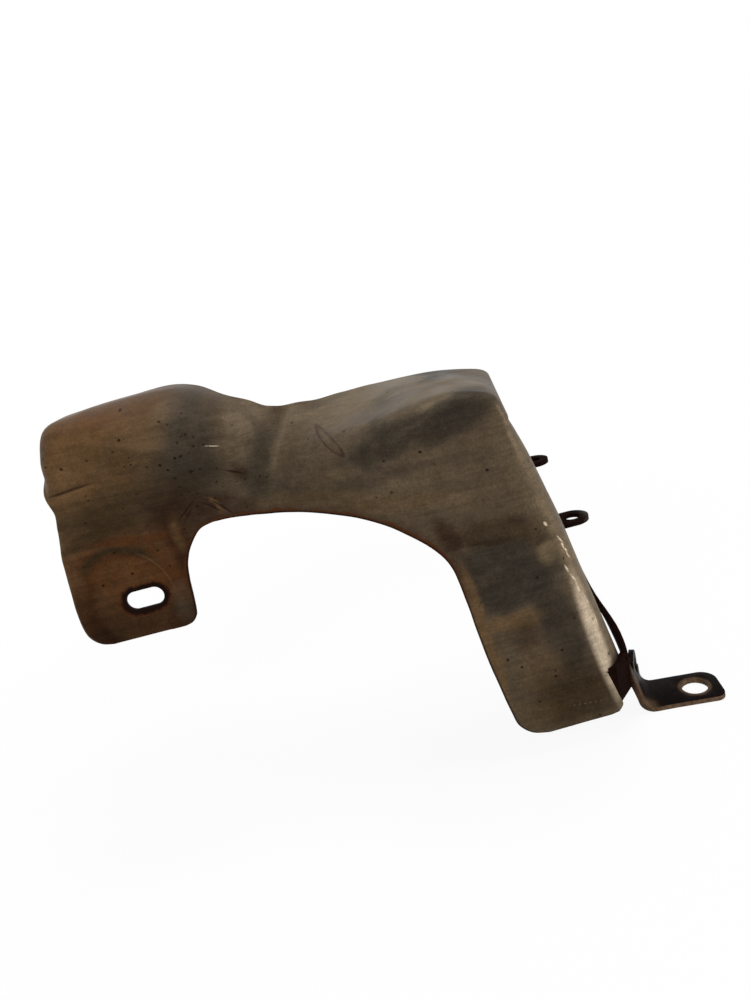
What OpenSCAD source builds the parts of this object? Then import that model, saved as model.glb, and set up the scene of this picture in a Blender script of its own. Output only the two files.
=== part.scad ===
/* [Sheet] */
// Thickness of the pressed shield sheet
sheet_t = 1; // [0.6:0.1:1.6]
// Thickness of the bracket steel
strap_t = 2; // [1.5:0.1:3]
// Thickness of the eyelet lugs
lug_t = 1.8; // [1:0.1:2.4]

/* [Leg] */
// Height of the leg's foot above the bracket foot
leg_z = 8.3; // [6:0.1:12]
// Front face of the leg, ahead of the bracket hole
leg_y = -15; // [-17:0.1:-13]
// Inner edge of the leg at its foot
leg_x = -78.7; // [-84:0.1:-76]
// Corner radius at the inner side of the leg's foot
leg_corner_r = 13; // [6:0.1:16]
// Lower end of the side wall, where a slit frees the leg's foot
relief_z = 28; // [25:0.1:31]
// Width of that slit
relief_w = 1.6; // [1.2:0.1:3]

/* [Arch] */
// Gap between the tab and the leg at their feet
arch_w = 114.6; // [100:0.1:125]
// Top of the arch cut-out
arch_z = 115.6; // [110:0.1:122]

/* [Tab] */
// Width of the slotted tab
tab_w = 47.5; // [42:0.1:54]
// Height of the tab's foot above the bracket foot
tab_z = 73.7; // [66:0.1:80]
// Front face of the tab, behind the bracket hole
tab_y = 26; // [23:0.1:29]
// Radius of the tab's outer corner
tab_outer_r = 10; // [4:0.1:12]
// Radius of the tab's inner corner
tab_inner_r = 6.5; // [3:0.1:8]
// Width of the slot
slot_w = 8; // [6:0.1:10]
// Overall length of the slot
slot_l = 15.6; // [12:0.1:20]
// Height of the slot's middle above the tab's foot
slot_up = 16.4; // [13:0.1:20]
// Distance of the slot's middle from the tab's inner edge
slot_in = 18.6; // [15:0.1:24]

/* [Lobe] */
// Top of the lobe above the bracket foot
lobe_z = 170.2; // [162:0.1:176]
// Front face of the lobe, behind the bracket hole
lobe_y = 19; // [15:0.1:23]
// How far the lobe is pressed forward at its crown
dome_h = 6; // [0:0.1:9]
// Bend radius over the top of the lobe
lobe_r = 22; // [14:0.1:26]
// Depth of the hollow between the lobe and the hood
valley_d = 3; // [0:0.1:5]

/* [Hood] */
// Rear edge of the hood's top above the bracket foot
hood_z = 148.7; // [145:0.1:153]
// Rear edge of the top and side walls
hood_back_y = 52; // [49:0.1:62]
// Bend radius along the hood's top front edge
hood_r = 5; // [3:0.1:9]
// Bend radius down the side of the leg
side_r = 13; // [8:0.1:15]
// Side wall at mid height, where its lean changes
side_x = -45; // [-47:0.1:-43]
// Lean of the side wall away from vertical, below mid height
side_lean = 11.9; // [10:0.1:15]
// Lean of the side wall above mid height
upper_lean = 16.4; // [14:0.1:18]

/* [Bracket] */
// Diameter of the hole in the bracket foot
foot_hole_d = 10.5; // [8:0.1:12]
// Width of the bracket foot
foot_w = 19; // [15:0.1:22]
// Turn of the foot in plan
foot_turn = 8; // [0:0.5:10]
// Distance from the hole to the end of the foot
foot_end = 10; // [9:0.1:14]
// Inner radius of the bend at the foot
foot_bend_r = 5.3; // [3:0.1:7]
// Top of the bracket's leaf behind the leg
leaf_top = 29; // [26:0.1:31]
// Height of the ear hole above the bracket foot
ear_z = 14.4; // [13:0.1:18]
// Diameter of the hole in the web's ear
ear_hole_d = 6.5; // [4:0.1:7]
// Width of the arm that is welded to the side wall
arm_w = 11; // [9:0.1:14]
// Top end of the arm
arm_z = 86; // [78:0.1:88]

/* [Eyelets] */
// Diameter of the hole in the lower eyelet
lower_hole_d = 6.5; // [4:0.1:8]
// Diameter of the hole in the upper eyelet
upper_hole_d = 5.6; // [4:0.1:7]
// Width of the lower eyelet
lower_w = 13.6; // [11:0.1:15]
// Width of the upper eyelet
upper_w = 12; // [10:0.1:15]
// Distance of the lower eyelet's hole from the side wall
lower_out = 9.2; // [8:0.1:14]
// Distance of the upper eyelet's hole from the side wall
upper_out = 7.2; // [6.8:0.1:14]
// Length of the lug's foot on the side wall
eye_foot = 9; // [6:0.1:12]

/* [Hidden] */
$fn = 64;
hair = 0.01;
tab_r = leg_x - arch_w;
tab_l = tab_r - tab_w;
knee_z = 97;

function ease(t) = t <= 0 ? 0 : t >= 1 ? 1 : t * t * (3 - 2 * t);
function bump(t) = ease(1 - abs(t));
function side_at(z) = side_x + (knee_z - z) * tan(z < knee_z ? side_lean : upper_lean);

// Height of the front face behind the bracket hole, over the front view
ramp_start = leg_x - 13;
ramp_w = 70;
jog_top = lobe_z - 27;
jog_h = 26;
jog_side = tab_r + 43;
jog_side_w = 35;
dome_x = tab_r + 12;
dome_half = 42;
dome_low = arch_z + 4;
dome_rise = 26;
valley_half = 12;
valley_low = arch_z - 4;
valley_rise = 14;
function valley_x(z) = tab_r + 41.5 + (z - arch_z) / 2;
function face_y(x, z) =
    leg_y + (lobe_y - leg_y) * ease((ramp_start - x) / ramp_w)
    + (tab_y - lobe_y) * ease((jog_top - z) / jog_h) * ease((jog_side - x) / jog_side_w)
    - dome_h * bump((x - dome_x) / dome_half) * ease((z - dome_low) / dome_rise)
    + valley_d * bump((x - valley_x(z)) / valley_half) * ease((z - valley_low) / valley_rise);

// Rear edge of the side wall: it slants up and back from the slit at the foot
function side_back(z) = min(hood_back_y - 1, leg_y + side_r + 7 + 0.72 * (z - relief_z));

// One cross-section of the pressing: inner edge a, rear edge b as the front view shows it, bend radius,
// rise of the rear edge over the corner of the bend, and depth of the rear edge.
// It is kept as the inner edge, the corner, the radius, the bend angle and the wall length.
shortest = 1;
least_turn = 3;
function section(a, b, r, rise, back) =
    let (corner = b - rise * (b - a) / norm(b - a),
         deep = back - face_y(corner[0], corner[1]),
         turn = atan2(deep, rise))
    [a[0], a[1], corner[0], corner[1], r, turn, max(norm([deep, rise]) - r * tan(turn / 2), shortest)];

// Free edges are rolled back a little
edge_roll = 2.4;
edge_drop = 0.17;
side_roll = 3.1;
side_drop = 0.8;
foot_roll = 3.2;
foot_drop = 0.7;
function rolled(a, b, r, roll, drop) = section(a, b, r, roll, face_y(b[0], b[1]) + drop);
function edge_section(a, b) = rolled(a, b, 12, edge_roll, edge_drop);
function foot_section(a, b) = rolled(a, b, 6, foot_roll, foot_drop);
function leg_section(a, z) = section(a, [side_at(z), z], side_r, 0, side_back(z));

tab_sections = [
    for (w = [0 : 30 : 90]) edge_section(
        [tab_r - tab_inner_r * (1 - sin(w)), tab_z + tab_inner_r * (1 - cos(w))],
        [tab_l + tab_outer_r * (1 - sin(w)), tab_z + tab_outer_r * (1 - cos(w))]),
    edge_section([tab_r + 0.8, tab_z + 13], [tab_l, tab_z + 18]),
    edge_section([tab_r + 1.5, tab_z + 20], [tab_l + 0.8, tab_z + 26]),
    edge_section([tab_r + 3, tab_z + 27], [tab_l + 1.8, tab_z + 35]),
    edge_section([tab_r + 6.5, arch_z - 8.4], [tab_l + 3.1, tab_z + 44]),
    edge_section([tab_r + 11.8, arch_z - 2.6], [tab_l + 6.9, tab_z + 54]),
    rolled([tab_r + 17.5, arch_z - 0.6], [tab_l + 8.8, lobe_z - 33], 9, side_roll, side_drop)
];
lobe_sections = [
    section([tab_r + 20.5, arch_z - 0.3], [tab_l + 7.3, lobe_z - 22.7], 7, 4, lobe_y + 8),
    section([tab_r + 23, arch_z - 0.1], [tab_l + 8.6, lobe_z - 13.2], 9, 2, lobe_y + 14),
    section([tab_r + 25.5, arch_z], [tab_l + 13.9, lobe_z - 3.1], 12, 0, lobe_y + 21),
    section([tab_r + 28, arch_z], [tab_l + 25.6, lobe_z - 1.5], lobe_r - 4, -1, hood_back_y - 4),
    section([tab_r + 30.5, arch_z - 0.1], [tab_l + 44, lobe_z - 1], lobe_r + 4, -2, hood_back_y),
    section([tab_r + 33, arch_z - 0.3], [tab_l + 60, lobe_z - 0.8], lobe_r + 6, -1, hood_back_y),
    section([tab_r + 35.5, arch_z - 0.4], [tab_l + 71.4, lobe_z - 3.4], lobe_r + 8, 1, hood_back_y - 2),
    section([tab_r + 38, arch_z - 0.6], [tab_l + 81.8, lobe_z - 9.2], lobe_r + 8, 5, hood_back_y - 7),
    section([tab_r + 41, arch_z - 0.8], [tab_l + 91.8, lobe_z - 13.4], lobe_r + 4, 12, hood_back_y - 12)
];
hood_sections = [
    section([tab_r + 45, arch_z - 0.9], [side_x - 96, hood_z + 4.6], lobe_r - 2, 19, hood_back_y - 14),
    section([tab_r + 50.5, arch_z - 1.1], [side_x - 89, hood_z + 2.7], lobe_r - 2, 18, hood_back_y - 12),
    section([tab_r + 58, arch_z - 1.6], [side_x - 78.7, hood_z + 1.2], lobe_r - 2, 14, hood_back_y - 7),
    section([leg_x - 47.3, arch_z - 2.8], [side_x - 67, hood_z + 0.6], hood_r + 13, 10.5, hood_back_y - 2),
    section([leg_x - 38.3, arch_z - 4.6], [side_x - 54, hood_z + 0.1], hood_r + 9, 5.5, hood_back_y),
    section([leg_x - 29.3, arch_z - 8.2], [side_x - 40, hood_z - 0.4], hood_r + 4, 0, hood_back_y),
    section([leg_x - 22.8, arch_z - 12.6], [side_x - 28, hood_z - 1], hood_r + 1, -1, hood_back_y - 1),
    section([leg_x - 16.8, arch_z - 17.8], [side_x - 15, hood_z - 2.5], hood_r, 2, hood_back_y - 7),
    section([leg_x - 12.4, arch_z - 23.4], [side_x - 7.3, hood_z - 5], hood_r + 1, 9.4, hood_back_y - 14),
    section([leg_x - 9.9, arch_z - 29], [side_x - 9, hood_z - 9.8], hood_r + 2, 6.4, hood_back_y - 26),
    section([leg_x - 8.6, arch_z - 35.5], [side_x - 8.9, hood_z - 17.6], side_r - 4, 2.4, hood_back_y - 20),
    section([leg_x - 7.7, arch_z - 42.5], [side_x - 5.7, hood_z - 29.2], side_r - 1, 1, hood_back_y - 10)
];
leg_sections = [
    leg_section([leg_x - 7, leg_z + 59.4], hood_z - 44.4),
    leg_section([leg_x - 6.4, leg_z + 52.9], hood_z - 57.4),
    leg_section([leg_x - 5.6, leg_z + 46.4], hood_z - 70.4),
    leg_section([leg_x - 4.8, leg_z + 39.9], relief_z + 38),
    leg_section([leg_x - 3.8, leg_z + 33.4], relief_z + 25),
    leg_section([leg_x - 2.7, leg_z + 27.4], relief_z + 12),
    leg_section([leg_x - 1.4, leg_z + 19.9], relief_z)
];
free_x = side_at(relief_z) - 8.2;
free_edge = [[1.3, 13.6], [2.7, 8.2], [3.8, 3.7], [1.8, 0.7]];
foot_sections = [
    foot_section([leg_x - 1.1, leg_z + 18.2], [free_x, relief_z - relief_w]),
    for (k = [0 : 3]) let (w = 30 * k) foot_section(
        [leg_x + leg_corner_r * (1 - cos(w)), leg_z + leg_corner_r * (1 - sin(w))],
        [free_x, leg_z] + free_edge[k])
];

// Smooth curve through rows k-1 to k+2 at the fraction t between rows k and k+1
function glide(a, b, c, d, t) =
    b + t * ((c - a) / 2 + t * ((a - 2.5 * b + 2 * c - d / 2) + t * (1.5 * (b - c) + (d - a) / 2)));
function row_at(rows, k, t) =
    let (last = len(rows) - 1)
    glide(rows[max(k - 1, 0)], rows[k], rows[min(k + 1, last)], rows[min(k + 2, last)], t);
function loft_rows(rows, steps) =
    [for (k = [0 : len(rows) - 2]) for (s = [0 : steps - 1]) row_at(rows, k, s / steps),
     rows[len(rows) - 1]];

// The points across one section: the face, the bend and the wall
face_steps = 10;
bend_steps = 6;
wall_steps = 3;
function across(row) =
    let (a = [row[0], row[1]], corner = [row[2], row[3]], span = norm(corner - a),
         way = (corner - a) / span, r = max(row[4], shortest), turn = max(row[5], least_turn),
         wall = max(row[6], shortest), reach = span - r * tan(turn / 2))
    [for (k = [0 : face_steps]) surface_point(a, way, reach * k / face_steps, 0),
     for (k = [1 : bend_steps])
         let (w = turn * k / bend_steps) surface_point(a, way, reach + r * sin(w), r * (1 - cos(w))),
     for (k = [1 : wall_steps])
         let (w = wall * k / wall_steps)
         surface_point(a, way, reach + r * sin(turn) + w * cos(turn), r * (1 - cos(turn)) + w * sin(turn))];
function surface_point(a, way, along, behind) =
    let (p = a + way * along) [p[0], face_y(p[0], p[1]) + behind, p[1]];

// A closed sheet of even thickness behind a grid of points
function grid_normal(g, i, j) =
    let (rows = len(g) - 1, cols = len(g[0]) - 1,
         du = g[min(i + 1, rows)][j] - g[max(i - 1, 0)][j],
         dv = g[i][min(j + 1, cols)] - g[i][max(j - 1, 0)],
         n = cross(du, dv))
    n / norm(n);
module sheet(g, t) {
    rows = len(g);
    cols = len(g[0]);
    count = rows * cols;
    points = [for (r = g) for (p = r) p,
              for (i = [0 : rows - 1]) for (j = [0 : cols - 1]) g[i][j] + t * grid_normal(g, i, j)];
    rim = [for (j = [0 : cols - 2]) j,
           for (i = [0 : rows - 2]) i * cols + cols - 1,
           for (j = [cols - 1 : -1 : 1]) (rows - 1) * cols + j,
           for (i = [rows - 1 : -1 : 1]) i * cols];
    faces = [
        for (i = [0 : rows - 2]) for (j = [0 : cols - 2])
            let (p = i * cols + j)
            each [[p, p + cols, p + cols + 1], [p, p + cols + 1, p + 1],
                  [count + p, count + p + cols + 1, count + p + cols],
                  [count + p, count + p + 1, count + p + cols + 1]],
        for (k = [0 : len(rim) - 1])
            let (p = rim[k], n = rim[(k + 1) % len(rim)])
            each [[p, n, count + n], [p, count + n, count + p]]
    ];
    polyhedron(points, faces, convexity = 10);
}

module slot_cut() {
    half = (slot_l - slot_w) / 2;
    translate([tab_r - slot_in, tab_y, tab_z + slot_up]) rotate([90, 0, 0]) {
        for (side = [-1, 1])
            translate([side * half, 0, 0]) cylinder(d = slot_w, h = 8, center = true);
        cube([2 * half, slot_w, 8], center = true);
    }
}

module relief_cut() {
    translate([free_x - 1.2, leg_y - 3, relief_z - relief_w]) cube([20, 26, relief_w]);
}

function flipped(row) = [for (k = [len(row) - 1 : -1 : 0]) row[k]];
module shield_panel() color([0.36, 0.30, 0.25]) difference() {
    sheet([for (row = concat(
               loft_rows(concat(tab_sections, lobe_sections, hood_sections, leg_sections), 2),
               loft_rows(foot_sections, 2)))
           flipped(across(row))], sheet_t);
    slot_cut();
    relief_cut();
}

// The bracket's leaf lies on the back of the leg and turns in towards the web
leaf_left = [leg_x + 20, leg_y + sheet_t];
leaf_right = [free_x + 3, leg_y + sheet_t];
leaf_end = [-27.8, -5.4];
leaf_low = leg_z + 4;
module plan_strip(a, b, thick) {
    way = (b - a) / norm(b - a);
    side = [-way[1], way[0]] * thick;
    polygon([a, b, b + side, a + side]);
}
module leaf() {
    translate([0, 0, leaf_low]) linear_extrude(leaf_top - leaf_low) {
        plan_strip(leaf_left, leaf_right, strap_t);
        plan_strip(leaf_right, leaf_end, strap_t);
        translate(leaf_right + [0, strap_t / 2]) circle(strap_t / 2);
    }
}

// The flat foot with the bolt hole; its long axis is turned a little in plan
foot_start = -8;
near_r = 4;
far_r = 6.5;
module foot_plate() {
    half = foot_w / 2;
    translate([0, 0, -strap_t / 2]) linear_extrude(strap_t) rotate(-foot_turn) {
        translate([foot_start, -half]) square([foot_end - far_r - foot_start, foot_w]);
        translate([0, near_r - half]) square([foot_end, foot_w - near_r - far_r]);
        translate([0, -half]) square([foot_end - near_r, foot_w / 2]);
        translate([foot_end - near_r, near_r - half]) circle(near_r);
        translate([foot_end - far_r, half - far_r]) circle(far_r);
    }
}

// Lines across the strap from its front edge to its rear edge
function turned(p) =
    [p[0] * cos(foot_turn) + p[1] * sin(foot_turn), -p[0] * sin(foot_turn) + p[1] * cos(foot_turn)];
function line(a, b) = [for (k = [0 : 4]) a + (b - a) * k / 4];
function foot_line(along) =
    let (a = turned([along, -foot_w / 2]), b = turned([along, foot_w / 2]), top = strap_t / 2)
    line([a[0], a[1], top], [b[0], b[1], top]);
function bend_line(w) =
    let (out = foot_bend_r * sin(w), up = strap_t / 2 + foot_bend_r * (1 - cos(w)))
    line([-19.2 - out, -7.2, up], [-12.9 - out, 11.4, up]);
web_lines = [
    line([-25.4, -7, 10], [-18.2, 11.6, 9.5]),
    line([-26.4, -6.8, 13.5], [-19.4, 9, 12.5]),
    line([-27.2, -6.6, 17], [-23, 2.6, 17]),
    line([-27.5, -6.5, 22], [-25.2, 2.6, 22]),
    line([-27.3, -6, 28], [-26.3, 3.6, 28]),
    line([-27.7, -4.6, 34], [-27.4, 6, 34]),
    line([-28.9, -2.4, 40], [-28.8, 8.6, 40]),
    line([-31, 1.2, 46], [-31, 12, 46]),
    line([-33.2, 4.2, 51.8], [-33.2, 15.2, 51.8])
];
arm_y = 5.5;
arm_meet = 58;
arm_face = strap_t / cos(side_lean);
function welded_line(z, trim) =
    line([side_at(z) + arm_face, arm_y + trim, z], [side_at(z) + arm_face, arm_y + arm_w - trim, z]);
module strap() {
    sheet(loft_lines([
        foot_line(foot_start + 0.5),
        foot_line(foot_start - 2),
        for (w = [0 : 22.5 : 90]) bend_line(w),
        each web_lines,
        for (z = [arm_meet, arm_meet + 6, arm_z - 3]) welded_line(z, 0),
        welded_line(arm_z - 0.8, 0.8),
        welded_line(arm_z, 3)
    ], 2), strap_t);
}
function loft_lines(lines, steps) =
    [for (k = [0 : len(lines) - 2]) for (s = [0 : steps - 1])
         [for (j = [0 : 4]) glide(lines[max(k - 1, 0)][j], lines[k][j], lines[k + 1][j],
                                  lines[min(k + 2, len(lines) - 1)][j], s / steps)],
     lines[len(lines) - 1]];

// The ear stays in line with the web where the arm twists away from it
ear_at = [-21.5, 5.3, ear_z];
ear_turn = 65;
ear_d = ear_hole_d + 6.4;
module on_ear() {
    translate(ear_at) rotate([0, 0, ear_turn]) rotate([90, 0, 0]) children();
}
module ear() {
    on_ear() translate([0, 0, -strap_t]) {
        cylinder(d = ear_d, h = strap_t);
        translate([-7, 1 - ear_d / 2, 0]) cube([7, ear_d - 1.6, strap_t]);
    }
}

module foot_bracket() color([0.10, 0.08, 0.08]) difference() {
    union() {
        leaf();
        foot_plate();
        strap();
        ear();
    }
    cylinder(d = foot_hole_d, h = 3 * strap_t, center = true);
    on_ear() cylinder(d = ear_hole_d, h = 4 * strap_t, center = true);
}

// A lug: its foot is welded flat on the side wall and its ring stands out level
module eyelet(y, z, out, w, hole_d) {
    translate([side_at(z), y, z]) {
        rotate([0, -side_lean, 0]) rotate([90, 0, 90]) linear_extrude(lug_t)
            translate([hair - w / 2, -eye_foot]) square([w - 2 * hair, eye_foot]);
        translate([0, 0, -lug_t / 2]) difference() {
            linear_extrude(lug_t) {
                translate([lug_t / 2, -w / 2]) square([out - lug_t / 2, w]);
                translate([out, 0]) circle(w / 2);
            }
            translate([out, 0, -1]) cylinder(d = hole_d, h = lug_t + 2);
        }
    }
}

upper_eye_z = knee_z + 2.4;
lower_eye_z = knee_z - 19.8;
module upper_eyelet() color([0.20, 0.17, 0.15])
    eyelet(side_back(upper_eye_z) - upper_w / 2, upper_eye_z, upper_out, upper_w, upper_hole_d);

module lower_eyelet() color([0.20, 0.17, 0.15])
    eyelet(side_back(lower_eye_z - 11) - lower_w / 2, lower_eye_z, lower_out, lower_w, lower_hole_d);

shield_panel();
foot_bracket();
upper_eyelet();
lower_eyelet();
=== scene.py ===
# %% [markdown]
# # An exhaust heat shield
#
# A heat shield is a thin sheet of steel that stands between a hot exhaust and the parts around it.
# This one is a single pressing: a slotted tab on the left, a domed lobe above it, an arch that
# clears a pipe, and a hooded leg on the right whose side wall folds back. A bracket with a flat
# foot and two small eyelets are welded to that wall.
#
# The construction is loaded as a fixed frame, in metres. This script then gives each piece the
# form and the finish that can be seen: years of heat have tinted the steel brown, tan and blue.

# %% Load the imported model
import math
import bmesh
import bpy
from mathutils import Matrix, Vector, noise
from mathutils.bvhtree import BVHTree


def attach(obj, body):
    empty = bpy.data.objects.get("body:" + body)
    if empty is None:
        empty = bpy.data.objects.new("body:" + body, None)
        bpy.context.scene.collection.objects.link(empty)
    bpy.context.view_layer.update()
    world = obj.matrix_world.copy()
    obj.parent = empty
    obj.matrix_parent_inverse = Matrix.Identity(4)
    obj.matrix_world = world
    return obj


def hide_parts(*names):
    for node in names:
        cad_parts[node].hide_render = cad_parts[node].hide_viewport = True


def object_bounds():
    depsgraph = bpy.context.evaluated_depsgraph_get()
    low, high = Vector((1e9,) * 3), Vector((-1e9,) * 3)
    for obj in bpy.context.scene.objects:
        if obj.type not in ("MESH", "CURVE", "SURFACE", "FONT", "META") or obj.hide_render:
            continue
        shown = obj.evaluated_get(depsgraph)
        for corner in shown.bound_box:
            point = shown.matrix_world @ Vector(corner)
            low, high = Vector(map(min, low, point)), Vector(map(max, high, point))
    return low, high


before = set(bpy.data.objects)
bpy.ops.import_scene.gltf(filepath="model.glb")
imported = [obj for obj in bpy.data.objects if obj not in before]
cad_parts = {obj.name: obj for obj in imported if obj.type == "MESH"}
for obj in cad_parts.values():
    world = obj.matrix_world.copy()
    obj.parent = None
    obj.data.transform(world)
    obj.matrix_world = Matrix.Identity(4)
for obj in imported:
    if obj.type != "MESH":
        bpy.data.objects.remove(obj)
cad_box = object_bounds()
print("nodes:", sorted(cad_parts))

# %% [markdown]
# ## Helpers that every step uses
#
# The pressing is worked out in millimetres, as its drawing would be, and the finished mesh is
# scaled to metres once. `ease` is the smooth step that a press form makes between two levels, and
# `bump` is a single rounded swelling.

# %% Millimetres and smooth steps
MM = 0.001


def ease(t):
    t = min(max(t, 0.0), 1.0)
    return t * t * (3 - 2 * t)


def bump(t):
    return ease(1 - abs(t))


# %% A finished mesh becomes a piece of the object
def add_piece(name, bm, material, node_name):
    """Turns a bmesh into a piece that stands for a node and rides with it."""
    mesh = bpy.data.meshes.new(name)
    bm.to_mesh(mesh)
    bm.free()
    piece = bpy.data.objects.new(name, mesh)
    bpy.context.scene.collection.objects.link(piece)
    mesh.materials.append(material)
    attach(piece, "root")
    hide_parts(node_name)
    return piece


def apply_modifiers(piece):
    """Keeps the mesh that the modifiers give and removes the modifiers."""
    evaluated = piece.evaluated_get(bpy.context.evaluated_depsgraph_get())
    mesh = bpy.data.meshes.new_from_object(evaluated)
    piece.modifiers.clear()
    piece.data = mesh


# %% [markdown]
# ## The pressing
#
# On the real object one blank of sheet steel is pressed over a form. It could be sculpted, or
# drawn with curves, but a press works section by section: each section starts at the sheet's
# inner edge, runs across the face, goes round a bend and ends in a wall. So the sheet is a flat
# grid from `bmesh.ops.create_grid`, and each of its points is pressed to its place on a smooth
# blend of such sections. The sizes are those of the construction, so both sheets match.

# %% Sizes of the pressing, in millimetres
SHEET_T = 1.0
LEG_X, LEG_Y, LEG_Z, LEG_CORNER_R = -78.7, -15.0, 8.3, 13.0
RELIEF_Z, RELIEF_W = 28.0, 1.6
ARCH_W, ARCH_Z = 114.6, 115.6
TAB_W, TAB_Z, TAB_Y = 47.5, 73.7, 26.0
TAB_OUTER_R, TAB_INNER_R = 10.0, 6.5
SLOT_W, SLOT_L, SLOT_UP, SLOT_IN = 8.0, 15.6, 16.4, 18.6
LOBE_Z, LOBE_Y, DOME_H, LOBE_R, VALLEY_D = 170.2, 19.0, 6.0, 22.0, 3.0
HOOD_Z, HOOD_BACK_Y, HOOD_R, SIDE_R = 148.7, 52.0, 5.0, 13.0
SIDE_X, SIDE_LEAN, UPPER_LEAN, KNEE_Z = -45.0, 11.9, 16.4, 97.0
TAB_R = LEG_X - ARCH_W
TAB_L = TAB_R - TAB_W


# %% The face of the pressing, seen from the side
def side_at(z):
    """The side wall at a height: its lean changes at the knee."""
    lean = SIDE_LEAN if z < KNEE_Z else UPPER_LEAN
    return SIDE_X + (KNEE_Z - z) * math.tan(math.radians(lean))


def face_y(x, z):
    """How far back the face lies: a long ramp, the tab's step, the lobe's dome and the valley."""
    ramp = (LOBE_Y - LEG_Y) * ease((LEG_X - 13 - x) / 70)
    step = (TAB_Y - LOBE_Y) * ease((LOBE_Z - 27 - z) / 26) * ease((TAB_R + 43 - x) / 35)
    dome = DOME_H * bump((x - TAB_R - 12) / 42) * ease((z - ARCH_Z - 4) / 26)
    valley_x = TAB_R + 41.5 + (z - ARCH_Z) / 2
    valley = VALLEY_D * bump((x - valley_x) / 12) * ease((z - ARCH_Z + 4) / 14)
    return LEG_Y + ramp + step - dome + valley


def side_back(z):
    """The rear edge of the side wall, which slants up and back from the slit at the foot."""
    return min(HOOD_BACK_Y - 1, LEG_Y + SIDE_R + 7 + 0.72 * (z - RELIEF_Z))


# %% The sections of the pressing
def section(inner, rear, radius, rise, back):
    """Inner edge, rear edge as the front view shows it, bend radius, rise over the bend, and depth."""
    span = math.dist(inner, rear)
    bend = [b - rise * (b - a) / span for a, b in zip(inner, rear)]
    deep = back - face_y(*bend)
    turn = math.atan2(deep, rise)
    wall = max(math.hypot(deep, rise) - radius * math.tan(turn / 2), 1)
    return (*inner, *bend, radius, turn, wall)


def rolled(inner, outer, radius, roll, drop):
    """A section that ends in a free edge, rolled back a little."""
    return section(inner, outer, radius, roll, face_y(*outer) + drop)


def corner(x, z, radius, degrees, x_side=1):
    """A point on a rounded lower corner, from its flat side (0) to its upright side (90)."""
    w = math.radians(degrees)
    return x + x_side * radius * (1 - math.sin(w)), z + radius * (1 - math.cos(w))


def edge_section(inner, outer):
    return rolled(inner, outer, 12, 2.4, 0.17)


def leg_section(inner, z):
    return section(inner, (side_at(z), z), SIDE_R, 0, side_back(z))


def foot_section(inner, outer):
    return rolled(inner, outer, 6, 3.2, 0.7)


tab_sections = [
    edge_section(corner(TAB_R, TAB_Z, TAB_INNER_R, w, -1), corner(TAB_L, TAB_Z, TAB_OUTER_R, w))
    for w in (0, 30, 60, 90)
] + [
    edge_section((TAB_R + 0.8, TAB_Z + 13), (TAB_L, TAB_Z + 18)),
    edge_section((TAB_R + 1.5, TAB_Z + 20), (TAB_L + 0.8, TAB_Z + 26)),
    edge_section((TAB_R + 3, TAB_Z + 27), (TAB_L + 1.8, TAB_Z + 35)),
    edge_section((TAB_R + 6.5, ARCH_Z - 8.4), (TAB_L + 3.1, TAB_Z + 44)),
    edge_section((TAB_R + 11.8, ARCH_Z - 2.6), (TAB_L + 6.9, TAB_Z + 54)),
    rolled((TAB_R + 17.5, ARCH_Z - 0.6), (TAB_L + 8.8, LOBE_Z - 33), 9, 3.1, 0.8),
]
lobe_sections = [
    section((TAB_R + 20.5, ARCH_Z - 0.3), (TAB_L + 7.3, LOBE_Z - 22.7), 7, 4, LOBE_Y + 8),
    section((TAB_R + 23, ARCH_Z - 0.1), (TAB_L + 8.6, LOBE_Z - 13.2), 9, 2, LOBE_Y + 14),
    section((TAB_R + 25.5, ARCH_Z), (TAB_L + 13.9, LOBE_Z - 3.1), 12, 0, LOBE_Y + 21),
    section((TAB_R + 28, ARCH_Z), (TAB_L + 25.6, LOBE_Z - 1.5), LOBE_R - 4, -1, HOOD_BACK_Y - 4),
    section((TAB_R + 30.5, ARCH_Z - 0.1), (TAB_L + 44, LOBE_Z - 1), LOBE_R + 4, -2, HOOD_BACK_Y),
    section((TAB_R + 33, ARCH_Z - 0.3), (TAB_L + 60, LOBE_Z - 0.8), LOBE_R + 6, -1, HOOD_BACK_Y),
    section((TAB_R + 35.5, ARCH_Z - 0.4), (TAB_L + 71.4, LOBE_Z - 3.4), LOBE_R + 8, 1, HOOD_BACK_Y - 2),
    section((TAB_R + 38, ARCH_Z - 0.6), (TAB_L + 81.8, LOBE_Z - 9.2), LOBE_R + 8, 5, HOOD_BACK_Y - 7),
    section((TAB_R + 41, ARCH_Z - 0.8), (TAB_L + 91.8, LOBE_Z - 13.4), LOBE_R + 4, 12, HOOD_BACK_Y - 12),
]
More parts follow.
